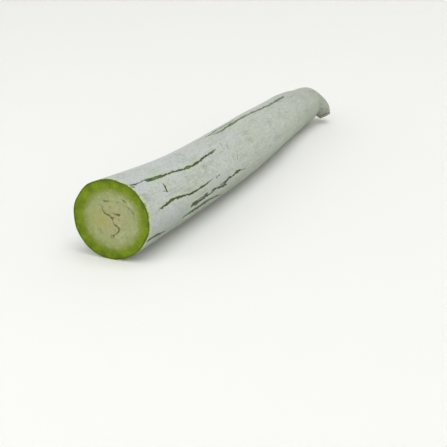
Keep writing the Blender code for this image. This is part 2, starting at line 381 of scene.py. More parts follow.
def put(tree, kind, inputs=(), result=0, stops=(), **settings):
    """Adds a node with its settings, fills or links its inputs, and gives one of its outputs.

    A kind in capitals is an operation of the Math node, or after a V one of Vector Math. Inputs
    and the result go by name, or by their place among the sockets that are in use. A list of
    sockets all goes into one input. Stops are the (position, hex colour) pairs of a ramp.
    """
    if kind.isupper():
        settings["operation"] = kind.removeprefix("V ")
        kind = "ShaderNodeVectorMath" if kind.startswith("V ") else "ShaderNodeMath"
    node = tree.nodes.new(kind)
    for name, value in settings.items():
        setattr(node, name, value)
    while stops and len(node.color_ramp.elements) < len(stops):
        node.color_ramp.elements.new(0.5)
    for i, (position, hex_colour) in enumerate(stops):
        node.color_ramp.elements[i].position = position
        node.color_ramp.elements[i].color = linear(hex_colour)
    sockets = [socket for socket in node.inputs if socket.enabled]
    results = [socket for socket in node.outputs if socket.enabled]
    given_by = inputs.items() if isinstance(inputs, dict) else enumerate(inputs)
    for key, value in given_by:
        if isinstance(key, str):
            key = [socket.name for socket in sockets].index(key)
        for one in value if isinstance(value, list) else [value]:
            if isinstance(one, bpy.types.NodeSocket):
                tree.links.new(one, sockets[key])
            else:
                sockets[key].default_value = one
    if isinstance(result, str):
        result = [socket.name for socket in results].index(result)
    return results[result]


print("8FA04A in linear light is", [round(v, 3) for v in linear("8FA04A")])

# %% Inputs of the tree
TREE_INPUTS = (
    ("Axis", "Object", axis_curve),
    ("Streaks", "Object", streak_curve),
    ("Clefts", "Object", cleft_curve),
    ("Sides", "Int", 216),
    ("Rings", "Int", 340),
    ("Face Rings", "Int", 84),
    ("Stalk End Rings", "Int", 12),
    ("Face Inner Spacing", "Float", 0.72),
    ("Axis Length", "Float", axis_length),
    ("Cut Run", "Float", cut_run),
    ("Cut Centre", "Vector", cut_centre),
    ("Cut Outward", "Vector", cut_out),
    ("Cut Right", "Vector", cut_right),
    ("Cut Up", "Vector", cut_up),
    ("Lean Sideways", "Float", lean_per_side),
    ("Lean Upright", "Float", lean_per_up),
    ("Stalk End", "Vector", stalk_end),
    ("Stalk Ahead", "Vector", stalk_ahead),
    ("Stalk Length", "Float", 0.014),
    ("Rim Rounding", "Float", 0.00028),
    ("Ridges", "Float", 10),
    ("Ridge Height", "Float", 0.0002),
    ("Lump Height", "Float", 0.00015),
    ("Fine Lump Height", "Float", 0.00045),
    ("Stalk Ribs", "Float", 5),
    ("Stalk Rib Height", "Float", 0.0003),
    ("Streak Depth", "Float", 0.0004),
    ("Streak Wander", "Float", 0.0026),
    ("Cleft Depth Per Half Width", "Float", 2.4),
    ("Cleft Wander", "Float", 0.003),
    ("Pith Sink", "Float", 0.00045),
    ("Flesh Grain Height", "Float", 0.00028),
    ("Stalk Hollow", "Float", 0.0011),
    ("Work Radius", "Float", WORK_RADIUS),
    ("Seed", "Float", 7.0),
)

grow = bpy.data.node_groups.new("grow_gourd", "GeometryNodeTree")
grow.interface.new_socket("Geometry", in_out="INPUT", socket_type="NodeSocketGeometry")
grow.interface.new_socket("Geometry", in_out="OUTPUT", socket_type="NodeSocketGeometry")
for name, kind, value in TREE_INPUTS:
    grow.interface.new_socket(name, in_out="INPUT", socket_type="NodeSocket" + kind)
for name in ("Skin", "Flesh", "Stalk Cut"):
    grow.interface.new_socket(name, in_out="INPUT", socket_type="NodeSocketMaterial")
given = grow.nodes.new("NodeGroupInput").outputs
print("the tree has", len(TREE_INPUTS) + 3, "inputs beside its geometry")

# %% [markdown]
# A cylinder gives the skin and the stalk's end. The cut face needs far more points than the stalk's
# end does, because its clefts are narrow, so it is the end of a second cylinder with more rings. The
# two are merged at the rim, so the mesh stays closed.

# %% The plain closed cylinder
SAME_POINT = 0.0001  # points of the plain cylinders that lie closer together are one
tubes = []
for rings, fans in ((given["Rings"], given["Stalk End Rings"]), (1, given["Face Rings"])):
    sizes = (given["Sides"], rings, fans, 1.0, 1.0)
    tube = put(grow, "GeometryNodeMeshCylinder", sizes, fill_type="TRIANGLE_FAN")
    tubes.append(tube.node.outputs)
skin_tube, face_tube = tubes
not_face = put(grow, "FunctionNodeBooleanMath", (face_tube["Bottom"],), operation="NOT")
joined_parts = []
for part, unwanted in ((skin_tube, skin_tube["Bottom"]), (face_tube, not_face)):
    own_map = (part["Mesh"], True, "UVMap", part["UV Map"])
    mapped = put(grow, STORE, own_map, data_type="FLOAT2", domain="CORNER")
    joined_parts.append(put(grow, "GeometryNodeDeleteGeometry", (mapped, unwanted), domain="FACE"))
joined = put(grow, "GeometryNodeJoinGeometry", (joined_parts,))
closed = put(grow, "GeometryNodeMergeByDistance", (joined, True, SAME_POINT))
print("the plain cylinder is joined from", len(joined_parts), "parts")

# %% [markdown]
# The cylinder's own positions say which point is which: the angle round the fruit, the share of the
# length, and on the end caps the share of the radius. The rings of the face are closer together in
# its middle, where the clefts are.

# %% Share of the length and angle of each point
place = put(grow, "GeometryNodeInputPosition")
parts = put(grow, SEPARATE, (place,)).node.outputs
turned = put(grow, "ARCTAN2", (parts["Y"], parts["X"]))
angle = put(grow, "ADD", (turned, math.pi / 2))
sine = put(grow, "SINE", (angle,))
cosine = put(grow, "COSINE", (angle,))
flat_place = put(grow, COMBINE, (parts["X"], parts["Y"], 0.0))
from_middle = put(grow, "V LENGTH", (flat_place,), "Value")
even_share = put(grow, "MINIMUM", (from_middle, 1.0))
share_squared = put(grow, "MULTIPLY", (even_share, even_share))
spread = put(grow, MIX, (share_squared, given["Face Inner Spacing"], 1.0))
cap_share = put(grow, "MULTIPLY", (even_share, spread))
length_share = put(grow, "ADD", (parts["Z"], 0.5))
ring = put(grow, "MULTIPLY", (length_share, given["Rings"]))
on_cut = put(grow, "FunctionNodeCompare", (ring, 0.5), operation="LESS_THAN")
print("the points know their place after", len(grow.nodes), "nodes")

# %% [markdown]
# The distance of a ring along the axis is a simple curve of its share: the gap at the stalk is 0.6
# of the mean gap. The first ring behind the cut sits close to it, so that the knife's edge is
# slightly rounded and catches light, and the leaning of the cut fades out along the fruit.

# %% Run of each point along the axis
END_GAP = 0.6
LEAN_FADE = 4.0  # the power by which the leaning of the cut fades out
last_ring = put(grow, "SUBTRACT", (given["Rings"], 1.0))
behind_rim = put(grow, "SUBTRACT", (ring, 1.0))
share_behind = put(grow, "DIVIDE", (behind_rim, last_ring), use_clamp=True)
left_over = put(grow, "SUBTRACT", (1.0, share_behind))
left_squared = put(grow, "MULTIPLY", (left_over, left_over))
bent_share = put(grow, MIX, (END_GAP, left_squared, left_over))
cut_to_end = put(grow, "SUBTRACT", (given["Axis Length"], given["Cut Run"]))
to_end = put(grow, "MULTIPLY", (bent_share, cut_to_end))
even_run = put(grow, "SUBTRACT", (given["Axis Length"], to_end))
past_rim = put(grow, "MINIMUM", (ring, 1.0))
rim_step = put(grow, "MULTIPLY", (given["Rim Rounding"], left_over))
rounded_run = put(grow, "MULTIPLY_ADD", (past_rim, rim_step, even_run))
lean_across = put(grow, "MULTIPLY", (cosine, given["Lean Sideways"]))
lean = put(grow, "MULTIPLY_ADD", (sine, given["Lean Upright"], lean_across))
lean_left = put(grow, "POWER", (left_over, LEAN_FADE))
run = put(grow, "MULTIPLY_ADD", (lean, lean_left, rounded_run))
print("the last gap is", END_GAP, "of the mean gap")

# %% [markdown]
# Sample Curve then gives the middle of the ring, the way ahead and the radius. Crossed with the way
# ahead, the curve's normal gives the ring its own left and up, turned on from ring to ring without
# a twist.

# %% Middle, direction and radius of each ring
axis_info = put(grow, "GeometryNodeObjectInfo", (given["Axis"],), "Geometry")
line_radius = put(grow, "GeometryNodeInputRadius")
by_length = {"mode": "LENGTH", "use_all_curves": False}
sampled = put(grow, "GeometryNodeSampleCurve", (axis_info, line_radius, run), **by_length)
sampled = sampled.node.outputs
ring_left = put(grow, "V SCALE", (sampled["Normal"], -1.0))
ring_up = put(grow, "V CROSS_PRODUCT", (sampled["Tangent"], ring_left))
out_left = put(grow, "V SCALE", (ring_left, cosine))
out_up = put(grow, "V SCALE", (ring_up, sine))
outward = put(grow, "V ADD", (out_left, out_up))
straight_left = put(grow, "MULTIPLY", (cosine, sampled["Value"]))
straight_up = put(grow, "MULTIPLY", (sine, sampled["Value"]))
straight = put(grow, COMBINE, (run, straight_left, straight_up))
print("the rings stand on the axis after", len(grow.nodes), "nodes")

# %% [markdown]
# ## Relief of the skin
#
# The skin is never quite round. It has ten soft ridges, slow lumps 6 to 10 cm long, and small ones
# of a few millimetres to a centimetre. They fade out on the underside, which lies flat, and on the
# stalk, where five ribs take over. The sizes are those of the solid, and only the small lumps are
# new.

# %% Ridges, lumps and ribs
FIRST_RIDGE = math.radians(120)
LUMP_WAVES = ((2, 31.0, 0.0), (3, -53.0, 1.0))  # lobes round, radians per metre, start
SMALL_LUMPS = 95.0  # in a metre
from_ridge = put(grow, "SUBTRACT", (angle, FIRST_RIDGE))
ridge_turn = put(grow, "MULTIPLY", (from_ridge, given["Ridges"]))
ridge_wave = put(grow, "COSINE", (ridge_turn,))
relief = put(grow, "MULTIPLY", (ridge_wave, given["Ridge Height"]))
for lobes, per_metre, start in LUMP_WAVES:
    lobe_turn = put(grow, "MULTIPLY_ADD", (angle, float(lobes), start))
    wave_turn = put(grow, "MULTIPLY_ADD", (run, per_metre, lobe_turn))
    wave = put(grow, "SINE", (wave_turn,))
    relief = put(grow, "MULTIPLY_ADD", (wave, given["Lump Height"], relief))
small_lumps = put(grow, NOISE, (straight, given["Seed"], SMALL_LUMPS, 3.0, 0.5), **SEEDED)
centred_lumps = put(grow, "SUBTRACT", (small_lumps, 0.5))
relief = put(grow, "MULTIPLY_ADD", (centred_lumps, given["Fine Lump Height"], relief))
print("the relief has", len(LUMP_WAVES), "slow waves and one fine noise")

# %% Where the relief fades, and the ribs of the stalk
UNDERSIDE_FROM = 0.5  # the even underside starts this far down the side, as part of a radius
UNDERSIDE_FULL = 0.85
down = put(grow, "MULTIPLY", (sine, -1.0))
off_underside = put(grow, MAP_RANGE, (down, UNDERSIDE_FROM, UNDERSIDE_FULL, 1.0, 0.0), **SMOOTH)
stalk_start = put(grow, "SUBTRACT", (given["Axis Length"], given["Stalk Length"]))
stalk_share = put(grow, MAP_RANGE, (run, stalk_start, given["Axis Length"]), **SMOOTH)
off_stalk = put(grow, "SUBTRACT", (1.0, stalk_share))
relief = put(grow, "MULTIPLY", (relief, off_underside))
relief = put(grow, "MULTIPLY", (relief, off_stalk))
rib_turn = put(grow, "MULTIPLY", (angle, given["Stalk Ribs"]))
rib_wave = put(grow, "COSINE", (rib_turn,))
rib = put(grow, "MULTIPLY", (rib_wave, given["Stalk Rib Height"]))
relief = put(grow, "MULTIPLY_ADD", (rib, stalk_share, relief))
print("the skin has its relief after", len(grow.nodes), "nodes")

# %% [markdown]
# ## Beside a drawn line
#
# Each point of the skin looks for the nearest streak on the unrolled skin, and each point of the
# face for the nearest cleft. Geometry Proximity gives the nearest place on a line, and Sample
# Nearest the line's direction and half width there. The distance across the line is signed, so it
# stays exact between the points of the mesh, and a material can draw a crisp edge with it.

# %% Numbers of the nearest line
LINE_STEP = 0.0003


def nearest_line(lines, place, squeeze):
    """How a place lies beside the nearest line: across it, away from it, and its half width."""
    drawn = put(grow, "GeometryNodeObjectInfo", (lines,), "Geometry")
    fine = put(grow, "GeometryNodeResampleCurve", (drawn, True, LINE_STEP), mode="LENGTH")
    heading = put(grow, "GeometryNodeInputTangent")
    kinds = {"half_width": "FLOAT", "heading": "FLOAT_VECTOR"}
    for name, value in (("half_width", line_radius), ("heading", heading)):
        fine = put(grow, STORE, (fine, True, name, value), data_type=kinds[name])
    edges = put(grow, "GeometryNodeCurveToMesh", (fine,))
    from_place = {"Geometry": edges, "Sample Position": place}
    nearest = put(grow, "GeometryNodeProximity", from_place, target_element="EDGES")
    index = put(grow, "GeometryNodeSampleNearest", from_place, domain="POINT")
    found = {}
    for name, kind in kinds.items():
        value = put(grow, "GeometryNodeInputNamedAttribute", (name,), data_type=kind)
        found[name] = put(grow, "GeometryNodeSampleIndex", (edges, value, index), data_type=kind)
    gap = put(grow, "V SUBTRACT", (place, nearest))
    gap = put(grow, "V MULTIPLY", (gap, squeeze))
    away = put(grow, "V LENGTH", (gap,), "Value")
    crossed = put(grow, "V CROSS_PRODUCT", (found["heading"], gap))
    across = put(grow, SEPARATE, (crossed,), "Z")
    return across, away, found["half_width"]


print("the drawn lines are read every", LINE_STEP * 1000, "mm")

# %% [markdown]
# ## Streaks
#
# A streak is sunken, because the skin is thinner where the bloom is gone. Its line wanders a little
# by a noise, as in nature, and the same wandering moves the groove and the colour.

# %% Places on the unrolled skin
STREAK_WAVES = 190.0  # in a metre


def wander(place, pattern_place, waves, reach):
    """The place, moved about by a smooth noise, so that a line drawn there wanders."""
    pattern = (pattern_place, given["Seed"], waves, 2.0, 0.6)
    noise = put(grow, NOISE, pattern, "Color", **SEEDED)
    off_mean = put(grow, "V SUBTRACT", (noise, (0.5, 0.5, 0.5)))
    most = put(grow, COMBINE, (reach, reach, 0.0))
    return put(grow, "V MULTIPLY_ADD", (off_mean, most, place))


around = put(grow, "MULTIPLY", (angle, given["Work Radius"]))
on_flat_skin = put(grow, COMBINE, (run, around, 0.0))
wandering_skin = wander(on_flat_skin, straight, STREAK_WAVES, given["Streak Wander"])
narrowing = put(grow, "DIVIDE", (sampled["Value"], given["Work Radius"]))
to_true = put(grow, COMBINE, (1.0, narrowing, 1.0))
print("a streak wanders in", STREAK_WAVES, "waves a metre")

# %% Groove of the streaks
GROOVE_PER_HALF_WIDTH = 1.3
GROOVE_SLOPE = 0.0004
FULL_GROOVE_HALF_WIDTH = 0.0009
streak = nearest_line(given["Streaks"], wandering_skin, to_true)
streak_numbers = put(grow, COMBINE, streak)
groove_reach = put(grow, "MULTIPLY_ADD", (streak[2], GROOVE_PER_HALF_WIDTH, GROOVE_SLOPE))
groove_shape = put(grow, MAP_RANGE, (streak[1], 0.0, groove_reach, 1.0, 0.0), **SMOOTH)
groove_size = put(grow, "DIVIDE", (streak[2], FULL_GROOVE_HALF_WIDTH))
groove_share = put(grow, "MULTIPLY", (groove_shape, groove_size), use_clamp=True)
groove = put(grow, "MULTIPLY", (groove_share, given["Streak Depth"]))
relief = put(grow, "SUBTRACT", (relief, groove))
print("the streaks are sunken after", len(grow.nodes), "nodes")

# %% [markdown]
# ## Place of each point
#
# A point of the skin goes out from the middle of its ring by the radius and the relief. A point of
# an end cap goes the same way, but only its share of the radius, so the caps close on their own
# middles. The cut's cap is then laid exactly in the plane of the cut.

# %% Place before the face gets its relief
at_rim = put(grow, "SUBTRACT", (1.0, past_rim))
rim_inset = put(grow, "MULTIPLY", (at_rim, given["Rim Rounding"]))
radius = put(grow, "ADD", (sampled["Value"], relief))
radius = put(grow, "SUBTRACT", (radius, rim_inset))
from_axis = put(grow, "V SCALE", (outward, radius))
on_skin = put(grow, "V ADD", (sampled["Position"], from_axis))
middles = (on_cut, given["Stalk End"], given["Cut Centre"])
cap_middle = put(grow, "GeometryNodeSwitch", middles, input_type="VECTOR")
shaped = put(grow, MIX, (cap_share, cap_middle, on_skin), data_type="VECTOR", clamp_factor=False)
off_plane_gap = put(grow, "V SUBTRACT", (shaped, given["Cut Centre"]))
in_plane = []
for direction in ("Cut Right", "Cut Up", "Cut Outward"):
    in_plane.append(put(grow, "V DOT_PRODUCT", (off_plane_gap, given[direction]), "Value"))
face_right, face_up, off_plane = in_plane
to_plane = put(grow, "MULTIPLY", (off_plane, on_cut))
print("the caps are laid after", len(grow.nodes), "nodes")

# %% [markdown]
# On the cut face the pith has sunk a little below the firm rind ring, the knife left a fine grain,
# and the clefts go down a few millimetres. The face has its own flat coordinates, to the right and
# up from its middle, which the clefts and later the material use.

# %% Clefts of the cut face
CLEFT_WAVES = 420.0  # in a metre
CLEFT_LIP = 0.00018  # how far outside a cleft's edge the face starts to go down
face_place = put(grow, COMBINE, (face_right, face_up, 0.0))
wandering_face = wander(face_place, face_place, CLEFT_WAVES, given["Cleft Wander"])
cleft = nearest_line(given["Clefts"], wandering_face, (1.0, 1.0, 1.0))
cleft_numbers = put(grow, COMBINE, cleft)
cleft_side = put(grow, "ADD", (cleft[2], CLEFT_LIP))
cleft_open = put(grow, MAP_RANGE, (cleft[1], 0.0, cleft_side, 1.0, 0.0), **SMOOTH)
cleft_full = put(grow, "MULTIPLY", (cleft[2], given["Cleft Depth Per Half Width"]))
cleft_depth = put(grow, "MULTIPLY", (cleft_open, cleft_full))
print("the clefts are open after", len(grow.nodes), "nodes")

# %% Sink and grain of the flesh
RIND_RING = 0.007
PITH_START = 0.013
GRAIN_WAVES = 330.0  # in a metre
GRAIN_FULL = 0.01  # from here inwards the grain is full, and at the rim it is a tenth
EVEN_RIM = 0.0004  # over this width the face's relief grows to its full depth
rim_left = put(grow, "SUBTRACT", (1.0, cap_share))
in_from_rim = put(grow, "MULTIPLY", (rim_left, sampled["Value"]))
in_pith = put(grow, MAP_RANGE, (in_from_rim, RIND_RING, PITH_START), **SMOOTH)
sink = put(grow, "MULTIPLY", (in_pith, given["Pith Sink"]))
face_grain = put(grow, NOISE, (face_place, given["Seed"], GRAIN_WAVES, 3.0, 0.6), **SEEDED)
grain_share = put(grow, MAP_RANGE, (in_from_rim, 0.0, GRAIN_FULL, 0.1))
grain_size = put(grow, "MULTIPLY", (grain_share, given["Flesh Grain Height"]))
grain = put(grow, "MULTIPLY", (face_grain, grain_size))
face_depth = put(grow, "ADD", (sink, grain))
face_depth = put(grow, "ADD", (face_depth, cleft_depth))
inside_rim = put(grow, MAP_RANGE, (in_from_rim, 0.0, EVEN_RIM))
face_depth = put(grow, "MULTIPLY", (face_depth, inside_rim))
face_depth = put(grow, "MULTIPLY", (face_depth, on_cut))
print("the pith sinks between", RIND_RING * 1000, "and", PITH_START * 1000, "mm from the rim")

# %% [markdown]
# The stalk was cut long before the fruit, so its end has dried: it is dished, with a small hollow
# in its middle where the soft core shrank.

# %% Dish of the stalk's end
DISH_BOTTOM = 0.15  # shares of the stalk's radius
DISH_EDGE = 0.97
STALK_CUT_FROM = 0.9999  # share of the length, where the rings of the stalk's end are
at_stalk_end = (length_share, STALK_CUT_FROM)
on_stalk_cut = put(grow, "FunctionNodeCompare", at_stalk_end, operation="GREATER_THAN")
dish_share = put(grow, MAP_RANGE, (cap_share, DISH_BOTTOM, DISH_EDGE, 1.0, 0.0), **SMOOTH)
dish = put(grow, "MULTIPLY", (dish_share, given["Stalk Hollow"]))
dish = put(grow, "MULTIPLY", (dish, on_stalk_cut))
inward = put(grow, "ADD", (to_plane, face_depth))
face_move = put(grow, "V SCALE", (given["Cut Outward"], inward))
dish_move = put(grow, "V SCALE", (given["Stalk Ahead"], dish))
final_place = put(grow, "V SUBTRACT", (shaped, face_move))
final_place = put(grow, "V SUBTRACT", (final_place, dish_move))
print("the stalk's end is dished after", len(grow.nodes), "nodes")

# %% [markdown]
# A heavy fruit presses itself a little flat where it lies, so nothing goes below the surface. The
# numbers that the materials read are stored on the mesh, and each region gets its material.

# %% Press the underside flat, and store what the materials read
final_parts = put(grow, SEPARATE, (final_place,)).node.outputs
pressed = put(grow, "MAXIMUM", (final_parts["Z"], 0.0))
pressed_place = put(grow, COMBINE, (final_parts["X"], final_parts["Y"], pressed))
lean_at_cut = put(grow, "ADD", (lean, given["Cut Run"]))
along_skin = put(grow, "SUBTRACT", (run, lean_at_cut))
from_edge = put(grow, "MAXIMUM", (along_skin, in_from_rim))
geometry = closed
for name, kind, value in (
    ("straight", "FLOAT_VECTOR", straight),
    ("streak", "FLOAT_VECTOR", streak_numbers),
    ("face", "FLOAT_VECTOR", face_place),
    ("cleft", "FLOAT_VECTOR", cleft_numbers),
    ("from_edge", "FLOAT", from_edge),
    ("cap_share", "FLOAT", cap_share),
):
    geometry = put(grow, STORE, (geometry, True, name, value), data_type=kind, domain="POINT")
geometry = put(grow, "GeometryNodeSetPosition", (geometry, True, pressed_place))
geometry = put(grow, "GeometryNodeSetShadeSmooth", (geometry,))
geometry = put(grow, "GeometryNodeRealizeInstances", (geometry,))
for selection, material in (
    (True, "Skin"),
    (face_tube["Bottom"], "Flesh"),
    (skin_tube["Top"], "Stalk Cut"),
):
    geometry = put(grow, "GeometryNodeSetMaterial", (geometry, selection, given[material]))
result = grow.nodes.new("NodeGroupOutput")
grow.links.new(geometry, result.inputs[0])
print("the tree has", len(grow.nodes), "nodes")

# %% [markdown]
# ## Waxy rind under bloom
#
# The skin of a snake gourd is a thin green rind under a powdery bloom of wax. The wax scatters
# light, so the fruit looks matt and pale: a cool grey near the cut, a greener grey towards the
# stalk, mottled at every scale where the bloom is thick or rubbed thin. The colour is built in
# layers. Each lets one more tone through, most of them by a noise, because real bloom has no sharp
# borders. Painted shade darkens the underside and the shoulder, and the streaks lower down the side.

# %% Helpers for the materials
ATTRIBUTE = "ShaderNodeAttribute"


def new_material(name):
    """An empty node material and its surface shader."""
    material = bpy.data.materials.new(name)
    material.use_nodes = True
    material.node_tree.nodes.clear()
    tree = material.node_tree
    shader = tree.nodes.new("ShaderNodeBsdfPrincipled")
    output = tree.nodes.new("ShaderNodeOutputMaterial")
    tree.links.new(shader.outputs[0], output.inputs["Surface"])
    return material, tree, shader


def stored_vector(tree, name):
    """A vector that the gourd's tree stored on the mesh, and its three parts."""
    vector = put(tree, ATTRIBUTE, (), "Vector", attribute_name=name)
    return vector, put(tree, SEPARATE, (vector,)).node.outputs


print("a material starts from a Principled shader")

# %% Skin: the noises
SHIFT = 0.37  # metres from one noise's place to the next one's, so that no two are alike
skin_material, skin, skin_shader = new_material("waxy_rind")
skin_place, skin_parts = stored_vector(skin, "straight")
SKIN_NOISES = {  # stretch along the fruit, size of a large spot in metres, detail, roughness
    "clouds": (0.45, 0.0300, 3.0, 0.55),
    "mottle": (0.62, 0.0100, 6.0, 0.80),
    "grain": (0.80, 0.0019, 3.0, 0.80),
    "threads": (0.07, 0.0022, 3.0, 0.60),
    "jags": (0.55, 0.0016, 2.0, 0.50),
    "swell": (0.55, 0.0038, 1.0, 0.50),
}
skin_noise = {}
for shift, (name, (stretch, size, detail, rough)) in enumerate(SKIN_NOISES.items()):
    moved = {"Vector": skin_place, "Location": (shift * SHIFT, 0, 0), "Scale": (stretch, 1, 1)}
    own_place = put(skin, "ShaderNodeMapping", moved)
    skin_noise[name] = put(skin, NOISE, (own_place, 1 / size, detail, rough))
print("the skin has", len(skin_noise), "noises")

# %% Skin: rubbed places and freckles
SCUFF = 0.0016  # width of a rubbed stroke
FRECKLE_GAP = 0.0042
FRECKLE_SIZES = (0.45, 1.0, 0.0, 0.2)  # random pick from and to, and radius in gaps at each
FRECKLE_EDGE = 7.0  # how steeply a freckle's colour starts
slanting = {"Vector": skin_place, "Rotation": (0.5, 0.9, 0.7), "Scale": (0.16, 1.0, 1.0)}
scuff_place = put(skin, "ShaderNodeMapping", slanting)
skin_noise["scuffs"] = put(skin, NOISE, (scuff_place, 1 / SCUFF, 2.0, 0.55))
freckle = put(skin, "ShaderNodeTexVoronoi", (skin_place, 1 / FRECKLE_GAP)).node.outputs
freckle_pick = put(skin, SEPARATE, (freckle["Color"],), "X")
freckle_size = put(skin, MAP_RANGE, (freckle_pick, *FRECKLE_SIZES))
freckle_dot = put(skin, "SUBTRACT", (freckle_size, freckle["Distance"]))
skin_noise["freckles"] = put(skin, "MULTIPLY", (freckle_dot, FRECKLE_EDGE), use_clamp=True)
print("freckles lie about", FRECKLE_GAP * 1000, "mm apart")

# %% Skin: sides of the fruit
SKIN_SIDES = {  # axis of the straight place, where a side starts, where it is full
    "left side": ("Y", -0.0005, 0.0045),
    # painted shade: darker towards the underside, where less light falls
    "low side": ("Z", 0.0080, -0.0160),
    # painted shade: the streaks' bare rind darkens lower down the side
    "flank": ("Z", 0.0170, 0.0050),
    # painted shade: darker over the shoulder towards the neck
    "shoulder": ("X", 0.3000, 0.3500),
}
for name, (axis, start, full) in SKIN_SIDES.items():
    skin_noise[name] = put(skin, MAP_RANGE, (skin_parts[axis], start, full))
FAR = (0.06, 0.26)  # where the grey starts to turn greener, and where it is greenest
FAR_CALM = 0.6  # how much of the clouds is lost towards the stalk
far_share = put(skin, MAP_RANGE, (skin_parts["X"], *FAR))
calm = put(skin, "MULTIPLY", (far_share, FAR_CALM))
skin_noise["clouds"] = put(skin, MIX, (calm, skin_noise["clouds"], 0.5))
print("the skin has", len(SKIN_SIDES), "sides with a tone of their own")

# %% Skin: layers of bloom
BLOOM_LAYERS = (  # noise, where it starts, where it is full, strength, colour
    ("clouds", 0.47, 0.66, 0.60, "BAC3AE"),  # thinner wax, so the green shows
    ("clouds", 0.49, 0.36, 0.45, "BFC2C9"),  # thick cool wax
    ("mottle", 0.54, 0.80, 0.75, "D4D7D6"),
    ("mottle", 0.48, 0.24, 0.80, "8B987D"),
    ("grain", 0.50, 0.26, 0.60, "87927D"),
    ("grain", 0.54, 0.76, 0.50, "DADDD8"),
    ("threads", 0.44, 0.28, 0.40, "959E8B"),
    ("scuffs", 0.64, 0.78, 0.60, "7E8A74"),
    ("freckles", 0.0, 1.0, 0.55, "71825F"),
    ("left side", 0.0, 1.0, 0.26, "CBD0D0"),
    # painted shade over the shoulder, towards the neck
    ("shoulder", 0.0, 1.0, 0.30, "969E8D"),
    ("low side", 0.0, 1.0, 0.70, "8E9782"),  # painted shade: darker and greener towards the underside
)


def lay(tree, under, reading, start, full, strength, tone, where=None):
    """Lays a tone on a colour: none of it where the reading is at start, its strength at full."""
    share = put(tree, MAP_RANGE, (reading, start, full, 0.0, strength))
    if where is not None:
        share = put(tree, "MULTIPLY", (share, where))
    tone = linear(tone) if isinstance(tone, str) else tone
    return put(tree, MIX, (share, under, tone), data_type="RGBA")


bloom = put(skin, MIX, (far_share, linear("C4C9CA"), linear("BCC3B7")), data_type="RGBA")
for name, *layer in BLOOM_LAYERS:
    bloom = lay(skin, bloom, skin_noise[name], *layer)
print("the bloom has", len(BLOOM_LAYERS), "layers")

# %% [markdown]
# In the streaks the wax is missing, and the dark, slightly glossy rind shows. A wide part is darkest
# along its two edges and lighter green between them, and a yellow-green border lies outside it,
# where the wax thins out. A fine line has hardly any border and is a dull dark grey-green.

# %% Skin: distance from a streak
JAG_PER_HALF_WIDTH = 2.2  # a streak's edge wanders by up to half of this
LEAST_JAG = 0.0003
MOST_JAG = 0.0024
GRID_STEP = 0.0004  # about half a gap between the mesh's points, which blurs plain distance


def line_gap(tree, line, jag, reach, step):
    """How far a point is from a drawn line, whose edge is jagged and crisp between points too."""
    jagged = put(tree, "MULTIPLY_ADD", (jag, reach, line["X"]))
    off_line = put(tree, "ABSOLUTE", (jagged,))
    past_end = put(tree, "SUBTRACT", (line["Y"], step))
    return put(tree, "MAXIMUM", (off_line, past_end))


streak_at = stored_vector(skin, "streak")[1]
half_width = streak_at["Z"]
jag = put(skin, "SUBTRACT", (skin_noise["jags"], 0.5))
jag_reach = put(skin, "MULTIPLY_ADD", (half_width, JAG_PER_HALF_WIDTH, LEAST_JAG))
jag_reach = put(skin, "MINIMUM", (jag_reach, MOST_JAG))
streak_gap = line_gap(skin, streak_at, jag, jag_reach, GRID_STEP)
print("an edge wanders by up to", MOST_JAG * 500, "mm to each side")

# %% Skin: where the rind is bare
FULL_TO = 0.8  # share of the half width up to which the rind is quite bare
SOFT_EDGE = 0.00035
SWELLS = (0.3, 0.7, 0.5, 1.25)  # noise from and to, and the share of the drawn width at each


def lessen(value, shares):
    """The value, less where a reading is near its start, down to the least share."""
    for reading, start, full, least in shares:
        share = put(skin, MAP_RANGE, (reading, start, full, least))
        value = put(skin, "MULTIPLY", (value, share))
    return value


swell = put(skin, MAP_RANGE, (skin_noise["swell"], *SWELLS))
bare_width = put(skin, "MULTIPLY", (half_width, swell))
bare_core = put(skin, "MULTIPLY", (bare_width, FULL_TO))
bare_edge = put(skin, "ADD", (bare_width, SOFT_EDGE))
bare = put(skin, MAP_RANGE, (streak_gap, bare_core, bare_edge, 1.0, 0.0))
BARE_SHARES = (  # reading, where it starts, where it is full, least share
    (half_width, 0.0001, 0.0006, 0.30),
    (skin_parts["X"], 0.320, 0.150, 0.80),  # paler towards the stalk
)
bare = lessen(bare, BARE_SHARES)
print("bare rind has a soft edge of", SOFT_EDGE * 1000, "mm")

# %% Skin: border of the bare rind
HALO_PER_HALF_WIDTH = 2.8
HALO_LEAST = 0.0008
HALO_RAMP = 500.0  # the ramp's end stands for a half width of 2 mm
RAMP = "ShaderNodeValToRGB"
halo_reach = put(skin, "MULTIPLY_ADD", (half_width, HALO_PER_HALF_WIDTH, HALO_LEAST))
halo = put(skin, MAP_RANGE, (streak_gap, bare_core, halo_reach, 1.0, 0.0), **SMOOTH)
HALO_SHARES = (  # reading, where it starts, where it is full, least share
    (half_width, 0.0003, 0.0010, 0.10),
    (skin_noise["clouds"], 0.42, 0.62, 0.30),
    (skin_parts["X"], 0.225, 0.205, 0.0),  # grey dust takes its place towards the stalk
    (skin_parts["Y"], 0.0045, 0.0010, 0.50),  # thick wax on the left side
)
halo = lessen(halo, HALO_SHARES)
halo_place = put(skin, "MULTIPLY", (half_width, HALO_RAMP))
halo_colour = put(skin, RAMP, (halo_place,), stops=((0.35, "C0C9A4"), (0.75, "BBCDA6")))
print("the border reaches", HALO_LEAST * 1000, "mm and more from the middle of a streak")

